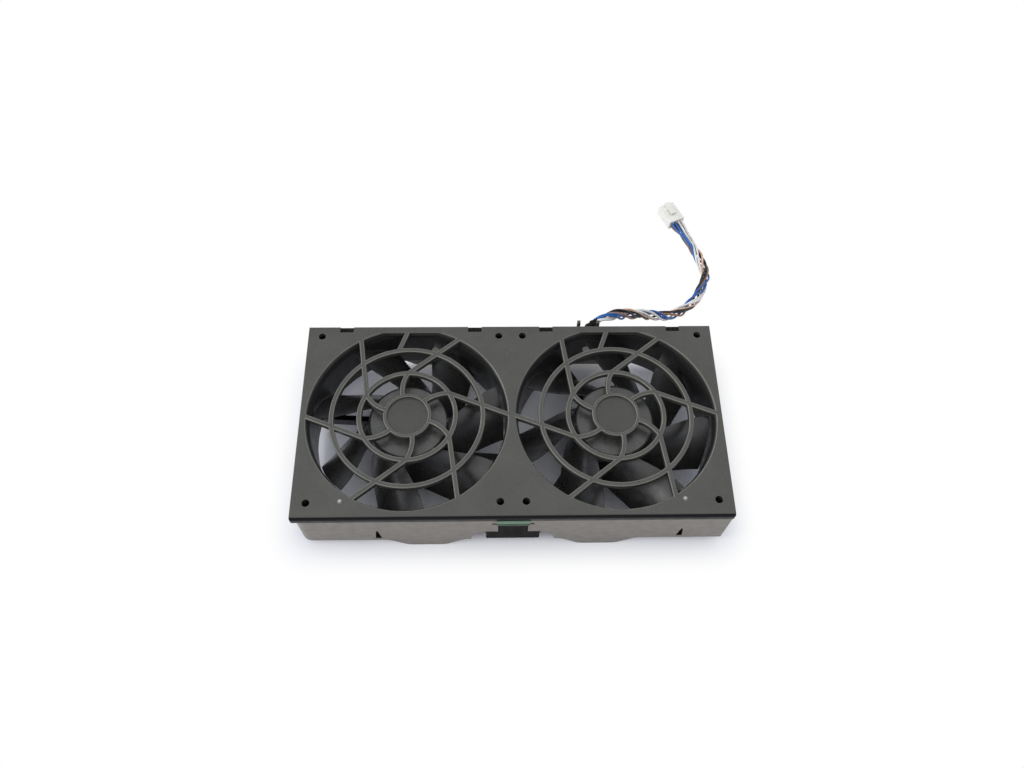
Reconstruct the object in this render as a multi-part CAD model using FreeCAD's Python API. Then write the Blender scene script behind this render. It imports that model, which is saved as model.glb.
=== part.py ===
"""Twin fan module: two axial fans side by side in a moulded carrier with spiral grilles and a release latch.

Millimetres. Z is up and air enters from above. The feet stand on Z = 0, the front wall faces -Y and the fan
axes are at Y = 0, the same distance either side of the origin.
"""
import FreeCAD
import Part
import math
import os

# Fan frames
FAN_SIZE = 92.0
FAN_DEPTH = 25.0
FAN_SPACING = 1.6
SCREW_INSET = 4.75
FRAME_HOLE = 4.3
FRAME_CORNER = 5.0
FRAME_RIM = 2.0
FLANGE = 4.0
BARREL_WALL = 1.2
BELL_DEPTH = 2.5
BELL_RUN = 0.9
BASE_RADIUS = 19.0
BASE_FLOOR = 2.0
BASE_RIM_WALL = 1.4
BASE_RIM = 3.6
STRUT_WIDTH = 2.6
STRUT_HEIGHT = 5.0
STRUT_COUNT = 4
STRUT_SLANT = 16.0
LEAD_CHANNEL = 2.8
LEAD_CHANNEL_DEPTH = 3.8
LEAD_STRUT_ANGLE = 30.0

# Impellers
BLADE_COUNT = 7
TIP_GAP = 0.8
HUB_RADIUS = 18.3
HUB_WALL = 1.3
HUB_TOP_WALL = 1.6
HUB_EDGE = 1.5
HUB_DROP = 4.0
ROTOR_GAP = 1.0
BLADE_RISE = 0.5
BLADE_SWEEP = 19.0
BLADE_SWEEP_POWER = 2.2
BLADE_CHORD_ROOT = 19.0
BLADE_CHORD_TIP = 21.0
BLADE_CAMBER = 1.8
BLADE_THICKNESS = 1.5
BLADE_EDGE = 0.6
BLADE_AXIS = -35.0
BLADE_ROOT_DEPTH = 5.1
BLADE_TIP_TRIM = 0.9
BLADE_STATIONS = 5
LEFT_PHASE = -27.5
RIGHT_PHASE = 2.5

# Motors
SHAFT = 3.0
SHAFT_BOSS = 4.0
SHAFT_BOSS_LENGTH = 1.9
SHAFT_TAIL = 0.5
BEARING = 8.0
BEARING_WIDTH = 4.0
BEARING_INNER_WALL = 0.7
BEARING_RUNNING_GAP = 0.05
BEARING_RISE = 1.5
TUBE_WALL = 0.7
TUBE_SHOULDER = 0.6
TUBE_COLLAR = 0.5
SPRING_HEIGHT = 1.0
SPRING_SHEET = 0.3
CLIP_THICKNESS = 0.3
CLIP_REACH = 1.2
CLIP_GAP_ANGLE = 80.0
GROOVE_DEPTH = 0.3
YOKE_WALL = 0.8
YOKE_RISE = 1.0
MAGNET_WALL = 2.0
MAGNET_INSET = 0.5
MAGNET_TOP_GAP = 1.1
AIR_GAP = 0.5
POLE_COUNT = 4
POLE_NECK = 3.6
POLE_SHOE = 1.6
POLE_SHOE_ANGLE = 70.0
CORE_RING = 2.3
INSULATOR = 1.0
INSULATOR_GUARD = 0.8
INSULATOR_GUARD_HEIGHT = 2.0
COIL_BUILD = 2.0
COIL_LENGTH = 3.2
COIL_CORNER = 1.5
COIL_CLEARANCE = 1.0
BOARD_RADIUS = 15.5
BOARD = 1.0
BOARD_GAP = 0.1
CHIP_HEIGHT = 1.2
CHIP_CLEARANCE = 0.5
CHIP_SIZES = ((5.0, 4.0), (3.0, 2.6), (2.6, 1.6))
CHIP_RADIUS = 10.5
CHIP_ANGLES = (200.0, 250.0, 300.0)

# Carrier
FAN_LIFT = 8.5
PLATE = 2.5
SEAT_GAP = 0.2
SEAT_CORNER = 4.0
SIDE_WALL = 1.5
FRONT_WALL = 1.9
BACK_WALL = 1.4
LIP_HEIGHT = 3.9
LIP_STEP = 0.6
LIP_EDGE = 2.5
PLATE_CORNER = 0.6
WALL_CORNER = 5.0
REAR_CORNER = 1.5
REAR_CHAMFER_RUN = 1.4
REAR_CHAMFER_DROP = 3.0
WALL_DROP = 1.4
PLATE_HOLE = 3.4
OPENING_EDGE = 0.6
OPENING_FLAT_INSET = 3.0
NOTCH_OFFSET = 30.0
NOTCH_WIDTH = 6.4
NOTCH_DEPTH = 4.2
HOOK_WIDTH = 5.6
HOOK_REACH = 1.8
HOOK_GAP = 0.15
HOOK_LEAD_IN = 0.5
FRONT_HOOK_OFFSETS = (-16.8, 30.0)
FOOT_INSET = 8.2
FOOT_FLAT = 16.5
FOOT_TOP = 34.0
FOOT_CURVE = 6.0
RECESS_MARGIN = 5.1
RECESS_FLARE = 3.5
RECESS_RISE = 7.4
RECESS_CURVE = 3.0
LEFT_SLIT_OFFSET = -12.8
RIGHT_SLIT_OFFSET = 27.9
SLIT_WIDTH = 2.8
SLIT_TOP_WIDTH = 0.8
SLIT_RISE = 2.6
SLIT_HEIGHT = 9.0
PIP_OFFSET = 26.8
PIP_INSET = 7.5
PIP_RADIUS = 1.1
PIP_HEIGHT = 0.6
GATE_MARK = 3.2
GATE_MARK_WIDTH = 0.4
GATE_MARK_DEPTH = 0.15
GATE_MARK_PLACE = (-0.4, 32.3)

# Grilles
RIB = 2.3
RIB_EDGE = 0.7
NUB_RADIUS = 1.6
NUB_REACH = 0.8
NUB_ANGLE = 71.0
GRILLE_HUB = 10.85
GRILLE_HUB_RIM = 1.65
GRILLE_HUB_EDGE = 0.4
GRILLE_HUB_RECESS = 1.4
GRILLE_RING_1 = 22.7
GRILLE_RING_2 = 35.0
SPOKE_COUNT = 6
SPOKE_OUTER_TURN = 31.0
SPOKE_INNER_TURN = 44.0
SPOKE_CURVE = 16.7
STRAY_RIB_START = 91.3
STRAY_RIB_END = 98.9

# Latch
PIVOT_INSET = 1.4
PIVOT_DROP = 1.2
PIVOT_PIN = 1.8
PIVOT_GAP = 0.05
PIVOT_SNAP = 1.5
EAR_RADIUS = 1.7
EAR_WIDTH = 3.0
LUG_WIDTH = 2.6
LUG_GAP = 0.5
LATCH_PLATE = 1.5
LATCH_INSET = 0.2
LATCH_BAR_WIDTH = 23.8
LATCH_BAR_RISE = 0.4
LATCH_BAR_HEIGHT = 9.1
LATCH_STEM_WIDTH = 12.0
LATCH_HEAD_HEIGHT = 5.6
LATCH_SILL = 2.0
LATCH_HEAD_PLATE = 1.1
LATCH_TOP_GAP = 1.1
LATCH_GAP = 0.5
LATCH_CORNER = 0.8
LATCH_SLIT_WIDTH = 18.4
LATCH_SLIT_HEIGHT = 1.2
PAD = 1.4
PAD_WIDTH = 14.2
PAD_TOP = 0.6
PAD_DROP = 0.5
PAD_EDGE = 0.3

# Wires
LEAD = 1.8
BUNDLE = 5.0
BEND_SHARE = 0.45
# Share of the way from the middle to the right fan's axis where the cable leaves the rear wall
CABLE_EXIT = 0.7372
# Cable bends: across and behind the exit, and height over the table
CABLE_BENDS = (
    (0.0, 0.0, 26.4),
    (4.8, 5.3, 30.2),
    (12.1, 9.4, 30.4),
    (23.1, 15.2, 23.5),
    (34.7, 20.2, 15.0),
    (46.4, 23.1, 7.5),
    (58.2, 30.7, 3.4),
    (65.8, 38.7, 2.7),
    (70.7, 48.0, 2.6),
    (72.2, 55.4, 2.6),
    (70.2, 62.6, 2.7),
    (67.7, 69.6, 2.7),
    (63.8, 79.1, 2.8),
    (59.6, 88.3, 2.8),
)
# Lead bends: share of the way to a fan's axis, distance before the rear wall, and height
LEFT_LEAD_BENDS = (
    (-0.479, 3.6, 14.0),
    (-0.321, 1.9, 19.0),
    (-0.064, 2.2, 22.4),
    (0.214, 1.8, 24.0),
    (0.449, 2.2, 25.0),
    (0.607, 3.3, 25.6),
)
RIGHT_LEAD_BENDS = (
    (0.483, 3.6, 14.5),
    (0.517, 2.3, 20.0),
    (0.607, 3.3, 22.9),
)
LEAD_MERGE = 3.4
LEAD_SPLIT = 1.2
WINDOW_LEFT_REACH = 4.0
WINDOW_RIGHT_REACH = 6.5
WINDOW_BELOW = 3.8
WINDOW_ABOVE = 4.4
PRONG = 1.5
LEFT_PRONG_OFFSET = -2.6
RIGHT_PRONG_OFFSET = 6.5
PRONG_REACH = 2.2
PRONG_DROP = 5.0
PRONG_HEIGHT = 4.6

# Connector
HOUSING_LENGTH = 12.0
HOUSING_WIDTH = 9.2
HOUSING_HEIGHT = 5.6
HOUSING_EDGE = 0.5
CONTACT_ROWS = 2
CONTACT_COLUMNS = 4
CONTACT_PITCH = 2.0
ENTRY_HOLE = 1.4
ENTRY_DEPTH = 4.5
CAVITY = 1.3
CONTACT = 1.0
CONTACT_LENGTH = 5.0
CLICK_ARM_WIDTH = 3.0
CLICK_ARM_LENGTH = 8.0
CLICK_ARM = 0.8
CLICK_ARM_GAP = 0.8

# Levels and outlines that follow from the sizes above
FAN_X = (FAN_SIZE + FAN_SPACING) / 2
SCREW_OFFSET = FAN_SIZE / 2 - SCREW_INSET
FAN_TOP = FAN_LIFT + FAN_DEPTH
PLATE_TOP = FAN_TOP + PLATE
LIP_BOTTOM = PLATE_TOP - LIP_HEIGHT
WALL_BOTTOM = FAN_LIFT - WALL_DROP
SEAT_X = FAN_X + FAN_SIZE / 2 + SEAT_GAP
SEAT_Y = FAN_SIZE / 2 + SEAT_GAP
SIDE_X = SEAT_X + SIDE_WALL
FRONT_Y = -SEAT_Y - FRONT_WALL
LIP_Y = FRONT_Y - LIP_STEP
BACK_Y = SEAT_Y + BACK_WALL
BORE_RADIUS = FAN_SIZE / 2 - FRAME_RIM
OPENING_RADIUS = BORE_RADIUS + BELL_RUN
BARREL_RADIUS = BORE_RADIUS + BARREL_WALL
TIP_RADIUS = BORE_RADIUS - TIP_GAP
BASE_TOP = FAN_LIFT + BASE_FLOOR
STRUT_TOP = FAN_LIFT + STRUT_HEIGHT
HUB_TOP = FAN_TOP - HUB_DROP
HUB_CEILING = HUB_TOP - HUB_TOP_WALL
HUB_BOTTOM = STRUT_TOP + ROTOR_GAP
HUB_INNER = HUB_RADIUS - HUB_WALL
BLADE_BOTTOM = HUB_BOTTOM + BLADE_RISE
YOKE_BOTTOM = HUB_BOTTOM + YOKE_RISE
YOKE_CEILING = HUB_CEILING - YOKE_WALL
YOKE_INNER = HUB_INNER - YOKE_WALL
MAGNET_INNER = YOKE_INNER - MAGNET_WALL
TUBE_BORE = BEARING / 2
TUBE_RADIUS = TUBE_BORE + TUBE_WALL
BOSS_BOTTOM = HUB_CEILING - SHAFT_BOSS_LENGTH
LOWER_BEARING = FAN_LIFT + BEARING_RISE
UPPER_BEARING = BOSS_BOTTOM - SPRING_HEIGHT - BEARING_WIDTH
TUBE_TOP = UPPER_BEARING + BEARING_WIDTH + TUBE_COLLAR
INNER_RING_RADIUS = SHAFT / 2 + BEARING_INNER_WALL
CORE_RADIUS = MAGNET_INNER - AIR_GAP
CORE_RING_RADIUS = TUBE_RADIUS + CORE_RING
SHOE_RADIUS = CORE_RADIUS - POLE_SHOE
BOARD_BOTTOM = BASE_TOP + CHIP_HEIGHT + CHIP_CLEARANCE
BOARD_TOP = BOARD_BOTTOM + BOARD
CORE_BOTTOM = BOARD_TOP + COIL_CLEARANCE + COIL_BUILD + INSULATOR
CORE_TOP = YOKE_CEILING - COIL_CLEARANCE - COIL_BUILD - INSULATOR
LATCH_BAR_BOTTOM = WALL_BOTTOM + LATCH_BAR_RISE
LATCH_BAR_TOP = LATCH_BAR_BOTTOM + LATCH_BAR_HEIGHT
LATCH_TOP = LIP_BOTTOM - LATCH_TOP_GAP
LATCH_HEAD_BOTTOM = LATCH_TOP - LATCH_HEAD_HEIGHT
LATCH_SILL_TOP = LATCH_HEAD_BOTTOM + LATCH_SILL
LATCH_HEAD_FRONT = LIP_Y - LATCH_INSET
PIVOT_Y = PIVOT_INSET - SEAT_Y
PIVOT_Z = LATCH_BAR_TOP - PIVOT_DROP
PIVOT_BACK = PIVOT_Y + EAR_RADIUS
PAD_BOTTOM = LATCH_TOP - PAD_DROP
EXIT_X = CABLE_EXIT * FAN_X
EXIT_Z = CABLE_BENDS[0][2]
WINDOW_LEFT = EXIT_X - WINDOW_LEFT_REACH
WINDOW_RIGHT = EXIT_X + WINDOW_RIGHT_REACH
WINDOW_BOTTOM = EXIT_Z - WINDOW_BELOW
WINDOW_TOP = EXIT_Z + WINDOW_ABOVE
PRONG_BOTTOM = PLATE_TOP - PRONG_DROP
FULL_TURN = 360.0
TOUCHING = 1e-6
HALVINGS = 60


def vec(x, y, z):
    return FreeCAD.Vector(x, y, z)


def block(x0, x1, y0, y1, z0, z1):
    return Part.makeBox(x1 - x0, y1 - y0, z1 - z0, vec(x0, y0, z0))


def cylinder(radius, z0, z1, x=0.0, y=0.0):
    return Part.makeCylinder(radius, z1 - z0, vec(x, y, z0))


def ring(outer, inner, z0, z1, x=0.0, y=0.0):
    return cylinder(outer, z0, z1, x, y).cut(cylinder(inner, z0, z1, x, y))


def joined(shapes):
    return shapes[0].fuse(list(shapes[1:])).removeSplitter()


def turned(outline):
    """Solid of revolution about Z of a closed outline given as (radius, height) points."""
    points = [vec(radius, 0.0, height) for radius, height in outline]
    wire = Part.makePolygon(points + points[:1])
    return Part.Face(wire).revolve(vec(0, 0, 0), vec(0, 0, 1), FULL_TURN)


def around(shape, count, first=0.0):
    """Copies of a shape spread evenly about Z."""
    copies = []
    for index in range(count):
        copy = shape.copy()
        copy.rotate(vec(0, 0, 0), vec(0, 0, 1), first + index * FULL_TURN / count)
        copies.append(copy)
    return copies


def polar(radius, angle, z=0.0):
    return vec(radius * math.cos(math.radians(angle)), radius * math.sin(math.radians(angle)), z)


def corner_arc(before, corner, after, radius):
    """Start, middle and end of the arc that rounds one corner, limited by the two sides that meet there."""
    into = (corner - before).normalize()
    out = (after - corner).normalize()
    half_turn = into.getAngle(out) / 2
    longest = min((corner - before).Length, (after - corner).Length) / 2
    setback = min(radius * math.tan(half_turn), longest)
    fitted = setback / math.tan(half_turn)
    inward = (out - into).normalize()
    middle = corner + inward * (fitted / math.cos(half_turn) - fitted)
    return corner - into * setback, middle, corner + out * setback


def rounded_wire(corners):
    """Closed wire through (point, radius) corners, with an arc at each corner whose radius isn't zero."""
    edges = []
    stretches = []
    for index, (corner, radius) in enumerate(corners):
        before = corners[index - 1][0]
        after = corners[(index + 1) % len(corners)][0]
        if radius:
            stretches.append(corner_arc(before, corner, after, radius))
        else:
            stretches.append((corner, None, corner))
    for index, (start, middle, end) in enumerate(stretches):
        if middle is not None:
            edges.append(Part.Arc(start, middle, end).toShape())
        following = stretches[(index + 1) % len(stretches)][0]
        if (following - end).Length > TOUCHING:
            edges.append(Part.LineSegment(end, following).toShape())
    return Part.Wire(edges)


def slab(corners, z0, z1):
    """Upright solid between two heights, from (x, y, corner radius) corners."""
    wire = rounded_wire([(vec(x, y, z0), radius) for x, y, radius in corners])
    return Part.Face(wire).extrude(vec(0, 0, z1 - z0))


def front_profile(corners, y0, y1):
    """Solid along Y from (x, z, corner radius) corners seen from the front."""
    wire = rounded_wire([(vec(x, y0, z), radius) for x, z, radius in corners])
    return Part.Face(wire).extrude(vec(0, y1 - y0, 0))


def side_profile(corners, x0, x1):
    """Solid along X from (y, z, corner radius) corners seen from the side."""
    wire = rounded_wire([(vec(x0, y, z), radius) for y, z, radius in corners])
    return Part.Face(wire).extrude(vec(x1 - x0, 0, 0))


def tube_path(points):
    """Straight runs joined by tangent arcs, each arc as large as its two runs allow, and the arcs' radii."""
    edges = []
    radii = []
    start = points[0]
    for before, corner, after in zip(points, points[1:], points[2:]):
        half_turn = (corner - before).getAngle(after - corner) / 2
        radius = BEND_SHARE * min((corner - before).Length, (after - corner).Length) / math.tan(half_turn)
        arc_start, middle, arc_end = corner_arc(before, corner, after, radius)
        edges.append(Part.LineSegment(start, arc_start).toShape())
        edges.append(Part.Arc(arc_start, middle, arc_end).toShape())
        radii.append(radius)
        start = arc_end
    edges.append(Part.LineSegment(start, points[-1]).toShape())
    return Part.Wire(edges), radii


def tube(name, points, diameter):
    path, radii = tube_path(points)
    section = Part.Wire(Part.Circle(points[0], points[1] - points[0], diameter / 2).toShape())
    solid = path.makePipeShell([section], True, False)
    expected = math.pi * diameter ** 2 / 4 * path.Length
    print(f"{name}: length {path.Length:.1f} mm, smallest radius {min(radii):.1f} mm, "
          f"volume over section times length {solid.Volume / expected:.4f}")
    print("  radii", " ".join(f"{radius:.1f}" for radius in radii))
    return solid


# Carrier: plate, walls, grilles, hooks, latch lugs and wire guide in one moulding

def plate_and_walls():
    outline = slab(((-SIDE_X, LIP_Y, PLATE_CORNER), (SIDE_X, LIP_Y, PLATE_CORNER),
                    (SIDE_X, BACK_Y, REAR_CORNER), (-SIDE_X, BACK_Y, PLATE_CORNER)), LIP_BOTTOM, PLATE_TOP)
    edges = side_profile(((LIP_Y, LIP_BOTTOM, 0), (LIP_Y, PLATE_TOP, LIP_EDGE),
                          (BACK_Y - REAR_CHAMFER_RUN, PLATE_TOP, 0),
                          (BACK_Y, PLATE_TOP - REAR_CHAMFER_DROP, 0), (BACK_Y, LIP_BOTTOM, 0)), -SIDE_X, SIDE_X)
    plate = outline.common(edges)
    walls = slab(((-SIDE_X, FRONT_Y, WALL_CORNER), (SIDE_X, FRONT_Y, PLATE_CORNER),
                  (SIDE_X, BACK_Y, REAR_CORNER), (-SIDE_X, BACK_Y, PLATE_CORNER)), 0.0, LIP_BOTTOM)
    seat = slab(((-SEAT_X, -SEAT_Y, SEAT_CORNER), (SEAT_X, -SEAT_Y, SEAT_CORNER),
                 (SEAT_X, SEAT_Y, SEAT_CORNER), (-SEAT_X, SEAT_Y, SEAT_CORNER)), 0.0, FAN_TOP)
    return plate.fuse(walls).cut(seat)


def wall_edge_cutters():
    """What is cut away under the walls, so that the feet stay, and the recess round the latch."""
    below = -WALL_BOTTOM
    beyond = 2 * SIDE_X
    foot = FAN_X - FOOT_INSET
    edge = [(-beyond, below, 0), (-beyond, WALL_BOTTOM, 0)]
    for centre in (-foot, foot):
        edge += [(centre - FOOT_TOP / 2, WALL_BOTTOM, FOOT_CURVE), (centre - FOOT_FLAT / 2, 0.0, FOOT_CURVE),
                 (centre + FOOT_FLAT / 2, 0.0, FOOT_CURVE), (centre + FOOT_TOP / 2, WALL_BOTTOM, FOOT_CURVE)]
    edge += [(beyond, WALL_BOTTOM, 0), (beyond, below, 0)]
    lower = front_profile(edge, LIP_Y, BACK_Y)
    half = LATCH_BAR_WIDTH / 2 + RECESS_MARGIN
    top = WALL_BOTTOM + RECESS_RISE
    recess = front_profile(((-half - RECESS_FLARE, 0.0, 0), (-half, top, RECESS_CURVE),
                            (half, top, RECESS_CURVE), (half + RECESS_FLARE, 0.0, 0)), LIP_Y, -SEAT_Y)
    return [lower, recess]


def latch_window_cutters():
    """The inverted T in the front wall that the latch stands in, with the slit under its touch pad."""
    bar = LATCH_BAR_WIDTH / 2 + LATCH_GAP
    stem = LATCH_STEM_WIDTH / 2 + LATCH_GAP
    pad = PAD_WIDTH / 2 + LATCH_GAP
    slit = LATCH_SLIT_WIDTH / 2
    return [block(-bar, bar, LIP_Y, -SEAT_Y, 0.0, LATCH_BAR_TOP + LATCH_GAP),
            block(-stem, stem, LIP_Y, -SEAT_Y, 0.0, LIP_BOTTOM),
            block(-pad, pad, LIP_Y, -SEAT_Y, PAD_BOTTOM - LATCH_GAP, LIP_BOTTOM),
            block(-slit, slit, LIP_Y, -SEAT_Y, LATCH_SILL_TOP - LATCH_SLIT_HEIGHT, LATCH_SILL_TOP)]


def plate_cutters():
    """Air openings, screw holes and rear notches over both fans, and the gate mark between them."""
    cutters = []
    for centre in (-FAN_X, FAN_X):
        opening = cylinder(OPENING_RADIUS, FAN_TOP, PLATE_TOP, centre)
        edge = Part.makeCone(OPENING_RADIUS, OPENING_RADIUS + OPENING_EDGE, OPENING_EDGE,
                             vec(centre, 0, PLATE_TOP - OPENING_EDGE))
        flat = block(centre - FAN_SIZE / 2, centre + FAN_SIZE / 2, -FAN_SIZE / 2,
                     FAN_SIZE / 2 - OPENING_FLAT_INSET, FAN_TOP, PLATE_TOP)
        cutters += [opening.common(flat), edge.common(flat)]
        for side in (-1, 1):
            notch = centre + side * NOTCH_OFFSET
            cutters.append(block(notch - NOTCH_WIDTH / 2, notch + NOTCH_WIDTH / 2,
                                 BACK_Y - NOTCH_DEPTH, BACK_Y, FAN_TOP, PLATE_TOP))
            for depth in (-1, 1):
                cutters.append(cylinder(PLATE_HOLE / 2, FAN_TOP, PLATE_TOP, centre + side * SCREW_OFFSET,
                                        depth * SCREW_OFFSET))
    cutters.append(ring(GATE_MARK / 2, GATE_MARK / 2 - GATE_MARK_WIDTH, PLATE_TOP - GATE_MARK_DEPTH,
                        PLATE_TOP, *GATE_MARK_PLACE))
    return cutters


def slit_cutters():
    """Two narrow pointed slits in the front wall, one before each fan."""
    cutters = []
    base = WALL_BOTTOM + SLIT_RISE
    for place in (-FAN_X + LEFT_SLIT_OFFSET, FAN_X + RIGHT_SLIT_OFFSET):
        top = base + SLIT_HEIGHT
        cutters.append(front_profile(((place - SLIT_WIDTH / 2, base, 0), (place + SLIT_WIDTH / 2, base, 0),
                                      (place + SLIT_TOP_WIDTH / 2, top, 0),
                                      (place - SLIT_TOP_WIDTH / 2, top, 0)), LIP_Y, -SEAT_Y))
    return cutters


def rib_section(centre):
    """Upright section of a rib with a rounded top, on the XZ plane, as deep as the plate."""
    near = centre - RIB / 2
    far = centre + RIB / 2
    corners = ((near, FAN_TOP, 0), (far, FAN_TOP, 0), (far, PLATE_TOP, RIB_EDGE), (near, PLATE_TOP, RIB_EDGE))
    return Part.Face(rounded_wire([(vec(x, 0, z), radius) for x, z, radius in corners]))


def straight_rib(start, end):
    """Rib of the grille between two points of the fan's face."""
    along = end - start
    rib = rib_section(0.0).extrude(vec(0, along.Length, 0))
    rib.rotate(vec(0, 0, 0), vec(0, 0, 1), -math.degrees(math.atan2(along.x, along.y)))
    rib.translate(start)
    return rib


def curved_rib(start, end, radius):
    """Rib along an arc that turns left from start to end."""
    chord = end - start
    rise = math.sqrt(radius ** 2 - (chord.Length / 2) ** 2)
    left = vec(-chord.y, chord.x, 0).normalize()
    centre = start + chord * 0.5 + left * rise
    first = start - centre
    span = math.degrees(first.getAngle(end - centre))
    rib = rib_section(radius).revolve(vec(0, 0, 0), vec(0, 0, 1), span)
    rib.rotate(vec(0, 0, 0), vec(0, 0, 1), math.degrees(math.atan2(first.y, first.x)))
    rib.translate(centre)
    return rib


def ring_rib(outer):
    return rib_section(outer - RIB / 2).revolve(vec(0, 0, 0), vec(0, 0, 1), FULL_TURN)


def grille_hub():
    """Disc with a raised rim whose edges are bevelled."""
    rim = GRILLE_HUB - GRILLE_HUB_RIM
    floor = PLATE_TOP - GRILLE_HUB_RECESS
    shoulder = PLATE_TOP - GRILLE_HUB_EDGE
    return turned(((0.0, FAN_TOP), (GRILLE_HUB, FAN_TOP), (GRILLE_HUB, shoulder),
                   (GRILLE_HUB - GRILLE_HUB_EDGE, PLATE_TOP), (rim + GRILLE_HUB_EDGE, PLATE_TOP),
                   (rim, shoulder), (rim, floor), (0.0, floor)))


def grille(nub_angle):
    """Hub disc, two rings with a nub and spiral spokes over one fan, centred on Z."""
    nub = polar(GRILLE_RING_2 + NUB_REACH, nub_angle)
    pieces = [grille_hub(), ring_rib(GRILLE_RING_1), ring_rib(GRILLE_RING_2),
              cylinder(NUB_RADIUS, FAN_TOP, PLATE_TOP - RIB_EDGE, nub.x, nub.y)]
    elbow_radius = GRILLE_RING_1 - RIB / 2
    elbow = polar(elbow_radius, SPOKE_OUTER_TURN)
    spoke = joined([straight_rib(polar(OPENING_RADIUS + RIB / 2, 0.0), elbow),
                    curved_rib(elbow, polar(GRILLE_HUB - GRILLE_HUB_RIM / 2, SPOKE_INNER_TURN), SPOKE_CURVE)])
    spokes = around(spoke, SPOKE_COUNT)
    pieces.append(straight_rib(polar(OPENING_RADIUS, STRAY_RIB_START),
                               polar(GRILLE_RING_2 - RIB / 2, STRAY_RIB_END)))
    return joined(pieces + spokes)


def hook(place, inward, face):
    """Snap hook under a fan's edge, on the wall face at the given Y, pointing inward."""
    embedded = face - inward * BACK_WALL / 2
    tip = face + inward * HOOK_REACH
    top = FAN_LIFT - HOOK_GAP
    return side_profile(((embedded, WALL_BOTTOM, 0), (face, WALL_BOTTOM, 0), (tip, top - HOOK_LEAD_IN, 0),
                         (tip, top, 0), (embedded, top, 0)), place - HOOK_WIDTH / 2, place + HOOK_WIDTH / 2)


def hooks():
    pieces = []
    for centre in (-FAN_X, FAN_X):
        for side in (-1, 1):
            pieces.append(hook(centre + side * NOTCH_OFFSET, -1, SEAT_Y))
    for side in (-1, 1):
        for offset in FRONT_HOOK_OFFSETS:
            pieces.append(hook(side * (FAN_X + offset), 1, -SEAT_Y))
    return pieces


def latch_lugs():
    """Two bearing lugs inside the front wall, each with a hole and a slot for the latch pin."""
    pieces = []
    for side in (-1, 1):
        inner = side * (LATCH_BAR_WIDTH / 2 + LUG_GAP)
        outer = inner + side * LUG_WIDTH
        x0, x1 = sorted((inner, outer))
        lug = block(x0, x1, FRONT_Y + FRONT_WALL / 2, PIVOT_BACK, PIVOT_Z - EAR_RADIUS, PIVOT_Z + EAR_RADIUS)
        pin = Part.makeCylinder(PIVOT_PIN / 2 + PIVOT_GAP, x1 - x0, vec(x0, PIVOT_Y, PIVOT_Z), vec(1, 0, 0))
        snap = block(x0, x1, PIVOT_Y, PIVOT_BACK, PIVOT_Z - PIVOT_SNAP / 2, PIVOT_Z + PIVOT_SNAP / 2)
        pieces.append(lug.cut([pin, snap]))
    return pieces


def wire_guide():
    """Two prongs behind the rear wall that keep the wires at the window between them."""
    pieces = []
    tip = BACK_Y + PRONG_REACH
    for x0 in (EXIT_X + LEFT_PRONG_OFFSET, EXIT_X + RIGHT_PRONG_OFFSET):
        pieces.append(block(x0, x0 + PRONG, BACK_Y - BACK_WALL / 2, tip,
                            PRONG_BOTTOM, PLATE_TOP - REAR_CHAMFER_DROP))
        pieces.append(block(x0, x0 + PRONG, tip - PRONG, tip, PRONG_BOTTOM, PRONG_BOTTOM + PRONG_HEIGHT))
    return pieces


def pips():
    """Two low domes near the front corners of the plate."""
    dome_radius = (PIP_RADIUS ** 2 + PIP_HEIGHT ** 2) / (2 * PIP_HEIGHT)
    pieces = []
    for side in (-1, 1):
        centre = vec(side * (FAN_X + PIP_OFFSET), FRONT_Y + PIP_INSET, PLATE_TOP + PIP_HEIGHT - dome_radius)
        sphere = Part.makeSphere(dome_radius, centre)
        above = cylinder(dome_radius, PLATE_TOP, PLATE_TOP + dome_radius, centre.x, centre.y)
        pieces.append(sphere.common(above))
    return pieces


def carrier():
    body = plate_and_walls()
    window = block(WINDOW_LEFT, WINDOW_RIGHT, SEAT_Y, BACK_Y, WINDOW_BOTTOM, WINDOW_TOP)
    cutters = wall_edge_cutters() + latch_window_cutters() + plate_cutters() + slit_cutters() + [window]
    body = body.cut(cutters)
    added = hooks() + latch_lugs() + wire_guide() + pips()
    for centre, nub_angle in ((-FAN_X, NUB_ANGLE), (FAN_X, FULL_TURN / 2 - NUB_ANGLE)):
        face = grille(nub_angle)
        face.translate(vec(centre, 0, 0))
        added.append(face)
    return joined([body] + added)


# Latch

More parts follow.
